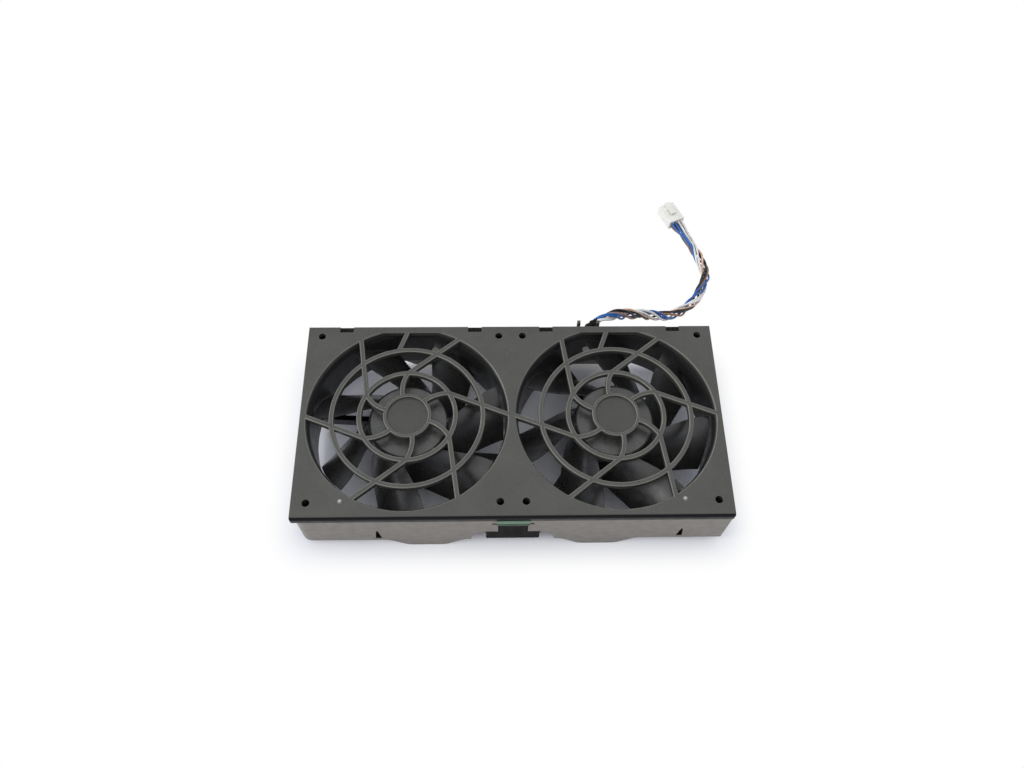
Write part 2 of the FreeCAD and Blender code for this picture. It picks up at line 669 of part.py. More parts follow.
def latch_lever():
    front = FRONT_Y + LATCH_INSET
    back = front + LATCH_PLATE
    bar = LATCH_BAR_WIDTH / 2
    stem = LATCH_STEM_WIDTH / 2
    blade = front_profile(((-bar, LATCH_BAR_BOTTOM, LATCH_CORNER), (bar, LATCH_BAR_BOTTOM, LATCH_CORNER),
                           (bar, LATCH_BAR_TOP, LATCH_CORNER), (stem, LATCH_BAR_TOP, LATCH_CORNER),
                           (stem, LATCH_SILL_TOP, 0), (-stem, LATCH_SILL_TOP, 0),
                           (-stem, LATCH_BAR_TOP, LATCH_CORNER), (-bar, LATCH_BAR_TOP, LATCH_CORNER)),
                          front, back)
    pieces = [blade,
              block(-stem, stem, LATCH_HEAD_FRONT, back, LATCH_HEAD_BOTTOM, LATCH_SILL_TOP),
              block(-stem, stem, LATCH_HEAD_FRONT, LATCH_HEAD_FRONT + LATCH_HEAD_PLATE,
                    LATCH_HEAD_BOTTOM, LATCH_TOP)]
    for side in (-1, 1):
        x0, x1 = sorted((side * bar, side * (bar - EAR_WIDTH)))
        pieces.append(Part.makeCylinder(EAR_RADIUS, x1 - x0, vec(x0, PIVOT_Y, PIVOT_Z), vec(1, 0, 0)))
        pieces.append(block(x0, x1, back - LATCH_PLATE / 2, PIVOT_Y, PIVOT_Z - EAR_RADIUS, LATCH_BAR_TOP))
        pin0, pin1 = sorted((side * (bar - EAR_WIDTH / 2), side * (bar + LUG_GAP + LUG_WIDTH)))
        pin = Part.makeCylinder(PIVOT_PIN / 2, pin1 - pin0, vec(pin0, PIVOT_Y, PIVOT_Z), vec(1, 0, 0))
        pieces.append(pin)
    return joined(pieces)


def latch_touch_pad():
    """Pad that caps the top of the lever's head, wider than the head and standing out before it."""
    half = PAD_WIDTH / 2
    top = LATCH_TOP + PAD_TOP
    front = LATCH_HEAD_FRONT - PAD
    back = LATCH_HEAD_FRONT + LATCH_HEAD_PLATE
    return side_profile(((LATCH_HEAD_FRONT, PAD_BOTTOM, 0), (front, PAD_BOTTOM, PAD_EDGE), (front, top, PAD_EDGE),
                         (back, top, 0), (back, LATCH_TOP, 0), (LATCH_HEAD_FRONT, LATCH_TOP, 0)), -half, half)


# Fan frame and stationary half of the motor, each centred on Z

def strut(angle):
    """Bar from the motor base to the barrel, slanted from the radial line."""
    start = polar(BASE_RADIUS - BASE_RIM_WALL, angle)
    end = polar(BORE_RADIUS + BARREL_WALL / 2, angle + STRUT_SLANT)
    along = end - start
    bar = block(0.0, along.Length, -STRUT_WIDTH / 2, STRUT_WIDTH / 2, FAN_LIFT, STRUT_TOP)
    bar.rotate(vec(0, 0, 0), vec(0, 0, 1), math.degrees(math.atan2(along.y, along.x)))
    bar.translate(vec(start.x, start.y, 0))
    return bar


def lead_strut(angle, width, z1):
    """Radial bar, or the channel inside it, that carries the lead out to the frame's edge."""
    bar = block(BASE_RADIUS / 2, BARREL_RADIUS, -width / 2, width / 2, FAN_LIFT, z1)
    bar.rotate(vec(0, 0, 0), vec(0, 0, 1), angle)
    return bar


def fan_frame(lead_angle):
    half = FAN_SIZE / 2
    corners = [(-half, -half, FRAME_CORNER), (half, -half, FRAME_CORNER), (half, half, FRAME_CORNER),
               (-half, half, FRAME_CORNER)]
    shell = joined([slab(corners, FAN_LIFT, FAN_LIFT + FLANGE), slab(corners, FAN_TOP - FLANGE, FAN_TOP),
                    cylinder(BARREL_RADIUS, FAN_LIFT, FAN_TOP)])
    mouth = Part.makeCone(BORE_RADIUS, OPENING_RADIUS, BELL_DEPTH, vec(0, 0, FAN_TOP - BELL_DEPTH))
    cutters = [cylinder(BORE_RADIUS, FAN_LIFT, FAN_TOP), mouth]
    for side in (-1, 1):
        for depth in (-1, 1):
            cutters.append(cylinder(FRAME_HOLE / 2, FAN_LIFT, FAN_TOP, side * SCREW_OFFSET,
                                    depth * SCREW_OFFSET))
    shell = shell.cut(cutters)
    base = joined([cylinder(BASE_RADIUS, FAN_LIFT, BASE_TOP),
                   ring(BASE_RADIUS, BASE_RADIUS - BASE_RIM_WALL, FAN_LIFT, FAN_LIFT + BASE_RIM),
                   cylinder(CORE_RING_RADIUS, FAN_LIFT, BOARD_BOTTOM)])
    plain = [strut(lead_angle + index * FULL_TURN / STRUT_COUNT) for index in range(1, STRUT_COUNT)]
    channelled = lead_strut(lead_angle, LEAD_CHANNEL + STRUT_WIDTH, STRUT_TOP)
    inside = cylinder(BASE_RADIUS - BASE_RIM_WALL, FAN_LIFT, STRUT_TOP)
    frame = joined([shell, base] + [bar.cut(inside) for bar in plain + [channelled]])
    channel = lead_strut(lead_angle, LEAD_CHANNEL, FAN_LIFT + LEAD_CHANNEL_DEPTH)
    notch = block(BORE_RADIUS, FAN_SIZE, -LEAD_CHANNEL, LEAD_CHANNEL, FAN_LIFT, FAN_LIFT + FLANGE)
    notch.rotate(vec(0, 0, 0), vec(0, 0, 1), lead_angle)
    return frame.cut([channel, notch, cylinder(TUBE_RADIUS, FAN_LIFT, BOARD_BOTTOM)])


def bearing_tube():
    shoulder = TUBE_BORE - TUBE_SHOULDER
    return turned(((TUBE_BORE, FAN_LIFT), (TUBE_RADIUS, FAN_LIFT), (TUBE_RADIUS, TUBE_TOP),
                   (TUBE_BORE, TUBE_TOP), (TUBE_BORE, UPPER_BEARING), (shoulder, UPPER_BEARING),
                   (shoulder, LOWER_BEARING + BEARING_WIDTH), (TUBE_BORE, LOWER_BEARING + BEARING_WIDTH)))


def bearing_outer_rings():
    """Outer rings of the two ball bearings with their shields, the balls closed in."""
    inner = INNER_RING_RADIUS + BEARING_RUNNING_GAP
    return Part.makeCompound([ring(TUBE_BORE, inner, level, level + BEARING_WIDTH)
                              for level in (LOWER_BEARING, UPPER_BEARING)])


def at_poles(shape):
    """Copies of a shape on +X at every pole of the stator."""
    return around(shape, POLE_COUNT, FULL_TURN / POLE_COUNT / 2)


def pole_arms(inner, outer, z0, z1):
    return at_poles(block(inner, outer, -POLE_NECK / 2, POLE_NECK / 2, z0, z1))


def arc_band(outer, inner, span, z0, z1):
    """Part of a ring that spans an angle about +X."""
    wedge = Part.makeCylinder(outer, z1 - z0, vec(0, 0, z0), vec(0, 0, 1), span)
    wedge.rotate(vec(0, 0, 0), vec(0, 0, 1), -span / 2)
    return wedge.cut(cylinder(inner, z0, z1))


def stator_core():
    shoe = arc_band(CORE_RADIUS, SHOE_RADIUS, POLE_SHOE_ANGLE, CORE_BOTTOM, CORE_TOP)
    shoes = at_poles(shoe)
    arms = pole_arms(TUBE_RADIUS + CORE_RING / 2, SHOE_RADIUS + POLE_SHOE / 2, CORE_BOTTOM, CORE_TOP)
    return joined([ring(CORE_RING_RADIUS, TUBE_RADIUS, CORE_BOTTOM, CORE_TOP)] + arms + shoes)


def stator_insulator():
    """Moulded ends above and below the core, with a guard outside each coil and a collar onto the board."""
    ends = []
    for face, rise, ring_end in ((CORE_TOP, 1, CORE_TOP + INSULATOR), (CORE_BOTTOM, -1, BOARD_TOP)):
        z0, z1 = sorted((face, face + rise * INSULATOR))
        guard_z0, guard_z1 = sorted((face, face + rise * (INSULATOR + INSULATOR_GUARD_HEIGHT)))
        guard = arc_band(SHOE_RADIUS, SHOE_RADIUS - INSULATOR_GUARD, POLE_SHOE_ANGLE, guard_z0, guard_z1)
        pieces = [ring(CORE_RING_RADIUS, TUBE_RADIUS, *sorted((face, ring_end)))]
        pieces += pole_arms(TUBE_RADIUS + CORE_RING / 2, SHOE_RADIUS - INSULATOR_GUARD / 2, z0, z1)
        pieces += at_poles(guard)
        ends.append(joined(pieces))
    return Part.makeCompound(ends)


def stator_windings():
    """One coil round each pole neck, over the insulator."""
    half = POLE_NECK / 2 + COIL_BUILD
    outer = math.sqrt((SHOE_RADIUS - INSULATOR_GUARD) ** 2 - half ** 2)
    inner = outer - COIL_LENGTH
    low = CORE_BOTTOM - INSULATOR - COIL_BUILD
    high = CORE_TOP + INSULATOR + COIL_BUILD
    coil = side_profile(((-half, low, COIL_CORNER), (half, low, COIL_CORNER), (half, high, COIL_CORNER),
                         (-half, high, COIL_CORNER)), inner, outer)
    neck = block(inner, outer, -POLE_NECK / 2, POLE_NECK / 2, CORE_BOTTOM - INSULATOR, CORE_TOP + INSULATOR)
    return Part.makeCompound(at_poles(coil.cut(neck)))


def circuit_board():
    return ring(BOARD_RADIUS, TUBE_RADIUS + BOARD_GAP, BOARD_BOTTOM, BOARD_TOP)


def board_chips():
    """Drive chip, sensor and capacitor under the board."""
    pieces = []
    for (length, width), angle in zip(CHIP_SIZES, CHIP_ANGLES):
        chip = block(CHIP_RADIUS - width / 2, CHIP_RADIUS + width / 2, -length / 2, length / 2,
                     BOARD_BOTTOM - CHIP_HEIGHT, BOARD_BOTTOM)
        chip.rotate(vec(0, 0, 0), vec(0, 0, 1), angle)
        pieces.append(chip)
    return Part.makeCompound(pieces)


# Turning half of the motor, each centred on Z

def lead_angle_at(radius):
    """Angle of a blade's leading edge at a radius, from the edge's tip."""
    share = (radius - HUB_RADIUS) / (TIP_RADIUS - HUB_RADIUS)
    return -BLADE_SWEEP * max(0.0, 1.0 - share) ** BLADE_SWEEP_POWER


def trail_angle_at(radius):
    share = (radius - HUB_RADIUS) / (TIP_RADIUS - HUB_RADIUS)
    chord = BLADE_CHORD_ROOT + share * (BLADE_CHORD_TIP - BLADE_CHORD_ROOT)
    return lead_angle_at(radius) - math.degrees(chord / radius)


def edge_across(distance, angle_at):
    """Place across the flat section at a distance from the axis where a blade edge crosses it."""
    low = distance / 2
    high = distance * 2
    for _ in range(HALVINGS):
        radius = (low + high) / 2
        if radius * math.cos(math.radians(angle_at(radius) - BLADE_AXIS)) < distance:
            low = radius
        else:
            high = radius
    return radius * math.sin(math.radians(angle_at(radius) - BLADE_AXIS))


def blade_section(distance):
    """Thin cambered section of a blade on the flat plane at a distance from the axis."""
    lead = vec(distance, edge_across(distance, lead_angle_at), HUB_TOP)
    trail = vec(distance, edge_across(distance, trail_angle_at), BLADE_BOTTOM)
    chord = lead - trail
    up = vec(0, -chord.z, chord.y).normalize()
    middle = trail + chord * 0.5 + up * BLADE_CAMBER
    edge = up * (BLADE_EDGE / 2)
    body = up * (BLADE_THICKNESS / 2)
    return Part.Wire([Part.Arc(lead + edge, middle + body, trail + edge).toShape(),
                      Part.LineSegment(trail + edge, trail - edge).toShape(),
                      Part.Arc(trail - edge, middle - body, lead - edge).toShape(),
                      Part.LineSegment(lead - edge, lead + edge).toShape()])


def blade():
    """Forward-swept blade with its leading edge's tip at angle zero."""
    innermost = HUB_RADIUS - BLADE_ROOT_DEPTH
    step = (TIP_RADIUS + BLADE_TIP_TRIM - innermost) / (BLADE_STATIONS - 1)
    sections = [blade_section(innermost + station * step) for station in range(BLADE_STATIONS)]
    shape = Part.makeLoft(sections, True, False)
    shape.rotate(vec(0, 0, 0), vec(0, 0, 1), BLADE_AXIS)
    swept = ring(TIP_RADIUS, HUB_RADIUS - HUB_WALL / 2, FAN_LIFT, FAN_TOP)
    return shape.common(swept)


def impeller(phase):
    """Hub cup with a boss for the shaft, and the blades round it."""
    cup = turned(((0.0, HUB_TOP), (0.0, BOSS_BOTTOM), (SHAFT_BOSS, BOSS_BOTTOM), (SHAFT_BOSS, HUB_CEILING),
                  (HUB_INNER, HUB_CEILING), (HUB_INNER, HUB_BOTTOM), (HUB_RADIUS, HUB_BOTTOM),
                  (HUB_RADIUS, HUB_TOP)))
    rim = [edge for edge in cup.Edges
           if edge.BoundBox.ZMin > HUB_TOP - TOUCHING and edge.BoundBox.XMax > HUB_RADIUS - TOUCHING]
    cup = cup.makeFillet(HUB_EDGE, rim)
    cup = cup.cut(cylinder(SHAFT / 2, BOSS_BOTTOM, HUB_CEILING))
    return joined([cup] + around(blade(), BLADE_COUNT, phase))


def rotor_yoke():
    """Steel cup inside the hub."""
    return turned(((SHAFT_BOSS, HUB_CEILING), (SHAFT_BOSS, YOKE_CEILING), (YOKE_INNER, YOKE_CEILING),
                   (YOKE_INNER, YOKE_BOTTOM), (HUB_INNER, YOKE_BOTTOM), (HUB_INNER, HUB_CEILING)))


def ring_magnet():
    return ring(YOKE_INNER, MAGNET_INNER, YOKE_BOTTOM + MAGNET_INSET, YOKE_CEILING - MAGNET_TOP_GAP)


def rotor_shaft():
    radius = SHAFT / 2
    clip_top = LOWER_BEARING
    clip_bottom = clip_top - CLIP_THICKNESS
    groove = radius - GROOVE_DEPTH
    bottom = clip_bottom - SHAFT_TAIL
    return turned(((0.0, bottom), (radius, bottom), (radius, clip_bottom), (groove, clip_bottom),
                   (groove, clip_top), (radius, clip_top), (radius, HUB_CEILING), (0.0, HUB_CEILING)))


def bearing_inner_rings():
    return Part.makeCompound([ring(INNER_RING_RADIUS, SHAFT / 2, level, level + BEARING_WIDTH)
                              for level in (LOWER_BEARING, UPPER_BEARING)])


def preload_spring():
    """Dished spring washer round the shaft, between the upper bearing's inner ring and the hub's boss."""
    seat = UPPER_BEARING + BEARING_WIDTH
    return turned(((INNER_RING_RADIUS - SPRING_SHEET, seat), (INNER_RING_RADIUS, seat),
                   (SHAFT / 2 + SPRING_SHEET, BOSS_BOTTOM), (SHAFT / 2, BOSS_BOTTOM)))


def shaft_clip():
    """Open ring in the shaft's groove, under the lower bearing."""
    inner = SHAFT / 2 - GROOVE_DEPTH
    return arc_band(SHAFT / 2 + CLIP_REACH - GROOVE_DEPTH, inner, FULL_TURN - CLIP_GAP_ANGLE,
                    LOWER_BEARING - CLIP_THICKNESS, LOWER_BEARING)


# Wires and connector

def route_points():
    return [vec(EXIT_X + across, SEAT_Y + behind, height) for across, behind, height in CABLE_BENDS]


def fan_lead(name, centre, lead_angle, bends, shift):
    """Wires of one fan from its board, along the lead strut and the rear wall, to the start of the bundle."""
    start, following = route_points()[:2]
    heading = (following - start).normalize()
    across = (vec(0, 0, 1) - heading * heading.z).normalize()
    end = start + across * shift
    level = BOARD_BOTTOM - LEAD / 2
    floor = FAN_LIFT + LEAD / 2 + (LEAD_CHANNEL - LEAD) / 2
    axis = vec(centre, 0, 0)
    points = [axis + polar(BASE_RADIUS / 2 + LEAD, lead_angle, level),
              axis + polar(BASE_RADIUS + LEAD, lead_angle, floor),
              axis + polar(BORE_RADIUS, lead_angle, floor)]
    points += [vec(share * FAN_X, SEAT_Y - before, height) for share, before, height in bends]
    points += [end - heading * LEAD_MERGE, end]
    return tube(name, points, LEAD)


def cable_bundle():
    return tube("cable_bundle", route_points(), BUNDLE)


def at_cable_end(shape):
    """Moves a shape from +X at the origin to the cable's end, along the cable's last run seen from above."""
    before, end = route_points()[-2:]
    along = end - before
    shape.rotate(vec(0, 0, 0), vec(0, 0, 1), math.degrees(math.atan2(along.y, along.x)))
    shape.translate(vec(end.x, end.y, 0))
    return shape


def contact_places():
    places = []
    for row in range(CONTACT_ROWS):
        for column in range(CONTACT_COLUMNS):
            places.append(((column - (CONTACT_COLUMNS - 1) / 2) * CONTACT_PITCH,
                           HOUSING_HEIGHT / 2 + (row - (CONTACT_ROWS - 1) / 2) * CONTACT_PITCH))
    return places


def connector_housing():
    half = HOUSING_WIDTH / 2
    body = side_profile(((-half, 0.0, HOUSING_EDGE), (half, 0.0, HOUSING_EDGE),
                         (half, HOUSING_HEIGHT, HOUSING_EDGE), (-half, HOUSING_HEIGHT, HOUSING_EDGE)),
                        0.0, HOUSING_LENGTH)
    cutters = []
    for y, z in contact_places():
        cutters.append(Part.makeCylinder(ENTRY_HOLE / 2, ENTRY_DEPTH, vec(0, y, z), vec(1, 0, 0)))
        cutters.append(block(ENTRY_DEPTH, HOUSING_LENGTH, y - CAVITY / 2, y + CAVITY / 2,
                             z - CAVITY / 2, z + CAVITY / 2))
    arm_half = CLICK_ARM_WIDTH / 2
    arm_bottom = HOUSING_HEIGHT + CLICK_ARM_GAP
    arm = block(HOUSING_LENGTH - CLICK_ARM_LENGTH, HOUSING_LENGTH, -arm_half, arm_half,
                arm_bottom, arm_bottom + CLICK_ARM)
    root = block(HOUSING_LENGTH - CLICK_ARM_LENGTH / 2, HOUSING_LENGTH - CLICK_ARM_LENGTH / 4,
                 -arm_half, arm_half, HOUSING_HEIGHT - CLICK_ARM, arm_bottom)
    return at_cable_end(joined([body.cut(cutters), arm, root]))


def connector_terminals():
    """Contacts that stand on the floor of their cavities."""
    pieces = []
    for y, z in contact_places():
        floor = z - CAVITY / 2
        pieces.append(block(ENTRY_DEPTH, ENTRY_DEPTH + CONTACT_LENGTH, y - CONTACT / 2, y + CONTACT / 2,
                            floor, floor + CONTACT))
    return at_cable_end(Part.makeCompound(pieces))


def fan_pieces(side, centre, phase, lead_angle, bends, shift):
    """Every piece of one fan, by node name, in its place in the carrier."""
    pieces = {
        "fan_frame": fan_frame(lead_angle),
        "bearing_tube": bearing_tube(),
        "bearing_outer_rings": bearing_outer_rings(),
        "stator_core": stator_core(),
        "stator_insulator": stator_insulator(),
        "stator_windings": stator_windings(),
        "circuit_board": circuit_board(),
        "board_chips": board_chips(),
        "impeller": impeller(phase),
        "rotor_yoke": rotor_yoke(),
        "ring_magnet": ring_magnet(),
        "rotor_shaft": rotor_shaft(),
        "bearing_inner_rings": bearing_inner_rings(),
        "preload_spring": preload_spring(),
        "shaft_clip": shaft_clip(),
    }
    placed = {}
    for name, shape in pieces.items():
        shape.translate(vec(centre, 0, 0))
        placed[f"{side}_{name}"] = shape
    placed[f"{side}_fan_lead"] = fan_lead(f"{side}_fan_lead", centre, lead_angle, bends, shift)
    return placed


def main():
    os.makedirs("parts", exist_ok=True)
    pieces = {
        "carrier": carrier(),
        "latch_lever": latch_lever(),
        "latch_touch_pad": latch_touch_pad(),
        "cable_bundle": cable_bundle(),
        "connector_housing": connector_housing(),
        "connector_terminals": connector_terminals(),
    }
    left_lead = FULL_TURN / 4 - LEAD_STRUT_ANGLE
    right_lead = FULL_TURN / 4 + LEAD_STRUT_ANGLE
    pieces.update(fan_pieces("left", -FAN_X, LEFT_PHASE, left_lead, LEFT_LEAD_BENDS, LEAD_SPLIT))
    pieces.update(fan_pieces("right", FAN_X, RIGHT_PHASE, right_lead, RIGHT_LEAD_BENDS, -LEAD_SPLIT))
    for name, shape in pieces.items():
        shape.exportStep(f"parts/{name}.step")


main()
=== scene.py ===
"""Fan module: materials, wires, floor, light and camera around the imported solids.

Blender works in metres. The sizes below are millimetres in the part's own frame.
The lamps in add_light are placed in metres.
"""
import math

import bpy
import numpy as np
from mathutils import Matrix, Vector


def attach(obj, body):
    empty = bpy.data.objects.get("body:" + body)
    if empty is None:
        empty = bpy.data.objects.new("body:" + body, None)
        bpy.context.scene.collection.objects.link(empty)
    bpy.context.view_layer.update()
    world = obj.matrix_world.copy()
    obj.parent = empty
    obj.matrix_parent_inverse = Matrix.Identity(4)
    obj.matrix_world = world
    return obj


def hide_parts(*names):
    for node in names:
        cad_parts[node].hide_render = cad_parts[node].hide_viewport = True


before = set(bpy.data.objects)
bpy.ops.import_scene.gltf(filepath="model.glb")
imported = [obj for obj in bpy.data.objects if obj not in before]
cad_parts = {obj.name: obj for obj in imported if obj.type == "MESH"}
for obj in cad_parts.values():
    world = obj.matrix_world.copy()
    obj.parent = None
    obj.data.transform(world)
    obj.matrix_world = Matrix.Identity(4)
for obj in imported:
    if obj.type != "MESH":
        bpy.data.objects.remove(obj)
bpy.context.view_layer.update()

MM = 0.001

# Camera
CAMERA_PLACE = (-8.713, -173.753, 386.644)
CAMERA_ELEVATION = 61.591
CAMERA_YAW = -2.851
CAMERA_ROLL = 2.186
CAMERA_LENS = 30.72
SENSOR_WIDTH = 36.0
PICTURE_WIDTH = 1024
PICTURE_SHIFT = (-1.0, -0.5)

# Cable from the rear window to the connector
CABLE_ROUTE = (
    (34.5, 46.2, 26.4),
    (39.3, 51.5, 30.2),
    (46.6, 55.6, 30.4),
    (57.6, 61.4, 23.5),
    (69.2, 66.4, 15.0),
    (80.9, 69.3, 7.5),
    (92.7, 76.9, 3.4),
    (100.3, 84.9, 2.7),
    (105.0, 94.2, 2.6),
    (106.3, 101.6, 2.6),
    (104.5, 108.8, 2.7),
    (102.2, 115.8, 2.7),
    (98.3, 125.3, 2.8),
    (94.1, 134.5, 2.8),
)
STRAND_RADIUS = 0.55
STRAND_RING = 1.85
STRAND_LAY = 36.0
STRAND_STRAIGHT = 18.0
STRAND_WANDER = 0.45
STRAND_SWAY = 16.0
STRAND_SIDES = 10
STRAND_STEP = 0.8
STRAND_COLOURS = ("white", "white", "blue", "blue", "brown", "black", "black", "tan")
FAN_OUT = 10.0
PLUG_IN = 3.0
CONTACT_PITCH = 2.0

# Black wrap where the cable leaves the carrier
WRAP_LENGTH = 11.5
WRAP_RADIUS = 2.35
WRAP_END_RADIUS = 1.3
WRAP_LAP = 0.3
WRAP_PITCH = 3.1
WRAP_CREASE = 0.25
WRAP_SIDES = 24
WRAP_STEP = 0.25

# Leads from the fans' boards along the rear wall to the cable
FAN_X = 46.8
LEAD_ANGLES = {"left": 60.0, "right": 120.0}
LEAD_STARTS = ((11.3, 11.3), (20.8, 9.9), (44.0, 9.9))
LEAD_BENDS = {
    "left": (
        (-22.4, 42.6, 14.0),
        (-15.0, 44.3, 19.0),
        (-3.0, 44.0, 22.4),
        (10.0, 44.4, 24.0),
        (21.0, 44.0, 25.0),
        (28.4, 42.9, 25.6),
    ),
    "right": (
        (22.6, 42.6, 14.5),
        (24.2, 43.9, 20.0),
        (28.4, 42.9, 22.9),
    ),
}
LEAD_SPLIT = 1.2
LEAD_MERGE = 3.4
LEAD_WIRE = 0.36
LEAD_RING = 0.52
LEAD_LAY = 11.0
LEAD_STEP = 0.4
LEAD_SIDES = 8
LEAD_COLOURS = ("black", "blue", "tan", "white")

# Heights and places of faces that the materials follow
LIP_FACE = -48.7
LIP_BOTTOM = 32.1
PLATE_TOP = 36.0
PAD_FRONT = -50.3

# Floor, and the area round the part where it keeps the shadow
FLOOR_SIZE = 60000.0
SHADE_HALF_WIDTH = 91.0
SHADE_HALF_DEPTH = 40.0
SHADE_FADE = 24.0


def add_camera():
    """Camera at the place, direction and lens that were fitted to the photograph."""
    elevation = math.radians(CAMERA_ELEVATION)
    right = Vector((1, 0, 0))
    back = Vector((0, -math.cos(elevation), math.sin(elevation)))
    level = Matrix((right, back.cross(right), back))
    roll = Matrix.Rotation(-math.radians(CAMERA_ROLL), 3, "Z")
    yaw = Matrix.Rotation(-math.radians(CAMERA_YAW), 3, "Z")
    axes = roll @ level @ yaw
    data = bpy.data.cameras.new("camera")
    data.sensor_fit = "HORIZONTAL"
    data.sensor_width = SENSOR_WIDTH
    data.lens = CAMERA_LENS
    data.shift_x, data.shift_y = (shift / PICTURE_WIDTH for shift in PICTURE_SHIFT)
    camera = bpy.data.objects.new("camera", data)
    bpy.context.scene.collection.objects.link(camera)
    camera.matrix_world = Matrix.Translation(Vector(CAMERA_PLACE) * MM) @ axes.transposed().to_4x4()
    bpy.context.scene.camera = camera


class Nodes:
    """A material's node tree with short calls to add and link nodes."""

    def __init__(self, name):
        self.material = bpy.data.materials.new(name)
        self.material.use_nodes = True
        self.tree = self.material.node_tree
        self.shader = self.tree.nodes["Principled BSDF"]

    def feed(self, socket, value):
        """Links a socket to another one, or sets its own value."""
        if isinstance(value, bpy.types.NodeSocket):
            self.tree.links.new(value, socket)
        else:
            socket.default_value = value

    def add(self, kind, inputs=None, **settings):
        node = self.tree.nodes.new(kind)
        for key, value in settings.items():
            setattr(node, key, value)
        for key, value in (inputs or {}).items():
            self.feed(node.inputs[key], value)
        return node

    def place(self):
        """Object coordinates in millimetres."""
        coordinates = self.add("ShaderNodeTexCoord").outputs["Object"]
        scale = (1 / MM, 1 / MM, 1 / MM)
        return self.add("ShaderNodeMapping", {"Vector": coordinates, "Scale": scale}).outputs[0]

    def position(self):
        """X, Y and Z of the object coordinates, in millimetres."""
        return self.add("ShaderNodeSeparateXYZ", {0: self.place()}).outputs

    def upward(self):
        """How far a face looks up, from -1 to 1."""
        normal = self.add("ShaderNodeNewGeometry").outputs["Normal"]
        return self.add("ShaderNodeSeparateXYZ", {0: normal}).outputs[2]

    def noise(self, scale, detail=3.0, roughness=0.5):
        """Noise whose features are about one over the scale in size, in millimetres."""
        inputs = {"Vector": self.place(), "Scale": scale, "Detail": detail, "Roughness": roughness}
        return self.add("ShaderNodeTexNoise", inputs).outputs["Fac"]

    def between(self, value, low, high, to_low=0.0, to_high=1.0):
        """Value mapped smoothly from low..high to to_low..to_high."""
        inputs = {"Value": value, "From Min": low, "From Max": high, "To Min": to_low, "To Max": to_high}
        return self.add("ShaderNodeMapRange", inputs, interpolation_type="SMOOTHSTEP").outputs[0]

    def math(self, operation, first, second=0.0):
        return self.add("ShaderNodeMath", {0: first, 1: second}, operation=operation).outputs[0]

    def mix(self, factor, first, second):
        """Colour between two, each a plain colour or a socket."""
        node = self.add("ShaderNodeMix", data_type="RGBA")
        self.feed(node.inputs[0], factor)
        for key, colour in ((6, first), (7, second)):
            linked = isinstance(colour, bpy.types.NodeSocket)
            self.feed(node.inputs[key], colour if linked else (*colour, 1.0))
        return node.outputs[2]

    def rounded_normal(self, radius):
        return self.add("ShaderNodeBevel", {"Radius": radius * MM}, samples=4).outputs[0]

    def edges(self, radius):
        """How near a sharp edge is, from 0 on a face to 1 on the edge."""
        flat = self.add("ShaderNodeNewGeometry").outputs["Normal"]
        vectors = {0: self.rounded_normal(radius), 1: flat}
        dot = self.add("ShaderNodeVectorMath", vectors, operation="DOT_PRODUCT").outputs["Value"]
        return self.between(dot, 0.995, 0.75)

    def set(self, key, value):
        self.feed(self.shader.inputs[key], value)

    def fed_by(self, key):
        """The socket that feeds an input of the shader."""
        return self.shader.inputs[key].links[0].from_socket

    def bump(self, height, depth, edge_radius=0.0):
        """Relief on the surface, with its edges rounded where a radius is given."""
        node = self.add("ShaderNodeBump", {"Height": height, "Distance": depth * MM})
        if edge_radius:
            self.feed(node.inputs["Normal"], self.rounded_normal(edge_radius))
        self.set("Normal", node.outputs[0])


def times(colour, factor, lift=0.0):
    """A colour made brighter or darker, at most white."""
    return tuple(min(1.0, channel * factor + lift) for channel in colour)


def plastic(name, colour, roughness, grain=2.0, depth=0.015, worn=0.3, dust=0.0, specular=0.5,
            soft_edge=0.25):
    """Moulded plastic with a fine grain, uneven tone, paler edges and a little dust.

    The grain counts features in a millimetre; depth and soft_edge are millimetres.
    """
    nodes = Nodes(name)
    tone = nodes.between(nodes.noise(0.06, 4.0), 0.3, 0.7)
    base = nodes.mix(tone, times(colour, 0.85), times(colour, 1.05))
    speck = nodes.between(nodes.noise(grain * 0.6, 2.0), 0.45, 0.75, 0.0, 0.3)
    base = nodes.mix(speck, base, times(colour, 1.4, 0.003))
    if dust:
        fluff = nodes.between(nodes.noise(0.9, 6.0, 0.7), 0.58, 0.78, 0.0, dust)
        base = nodes.mix(fluff, base, (0.42, 0.41, 0.38))
    edge = nodes.math("MULTIPLY", nodes.edges(0.35), worn)
    nodes.set("Base Color", nodes.mix(edge, base, times(colour, 3.0, 0.10)))
    blotches = nodes.noise(0.25, 4.0)
    nodes.set("Roughness", nodes.between(blotches, 0.3, 0.7, roughness - 0.06, roughness + 0.06))
    nodes.set("Specular IOR Level", specular)
    nodes.bump(nodes.noise(grain, 2.0), depth, soft_edge)
    return nodes


def metal(name, colour, roughness, lines, depth):
    """Turned or drawn metal with fine lines across Z and uneven sheen."""
    nodes = Nodes(name)
    smear = nodes.between(nodes.noise(0.5, 4.0), 0.3, 0.7)
    base = nodes.mix(smear, times(colour, 0.85), colour)
    nodes.set("Base Color", nodes.mix(nodes.edges(0.15), base, times(colour, 1.25, 0.03)))
    nodes.set("Metallic", 1.0)
    nodes.set("Roughness", nodes.between(nodes.noise(1.5, 3.0), 0.3, 0.7, roughness - 0.07, roughness + 0.07))
    inputs = {"Vector": nodes.place(), "Scale": lines, "Distortion": 1.5, "Detail": 2.0}
    nodes.bump(nodes.add("ShaderNodeTexWave", inputs, bands_direction="Z").outputs["Fac"], depth)
    return nodes.material


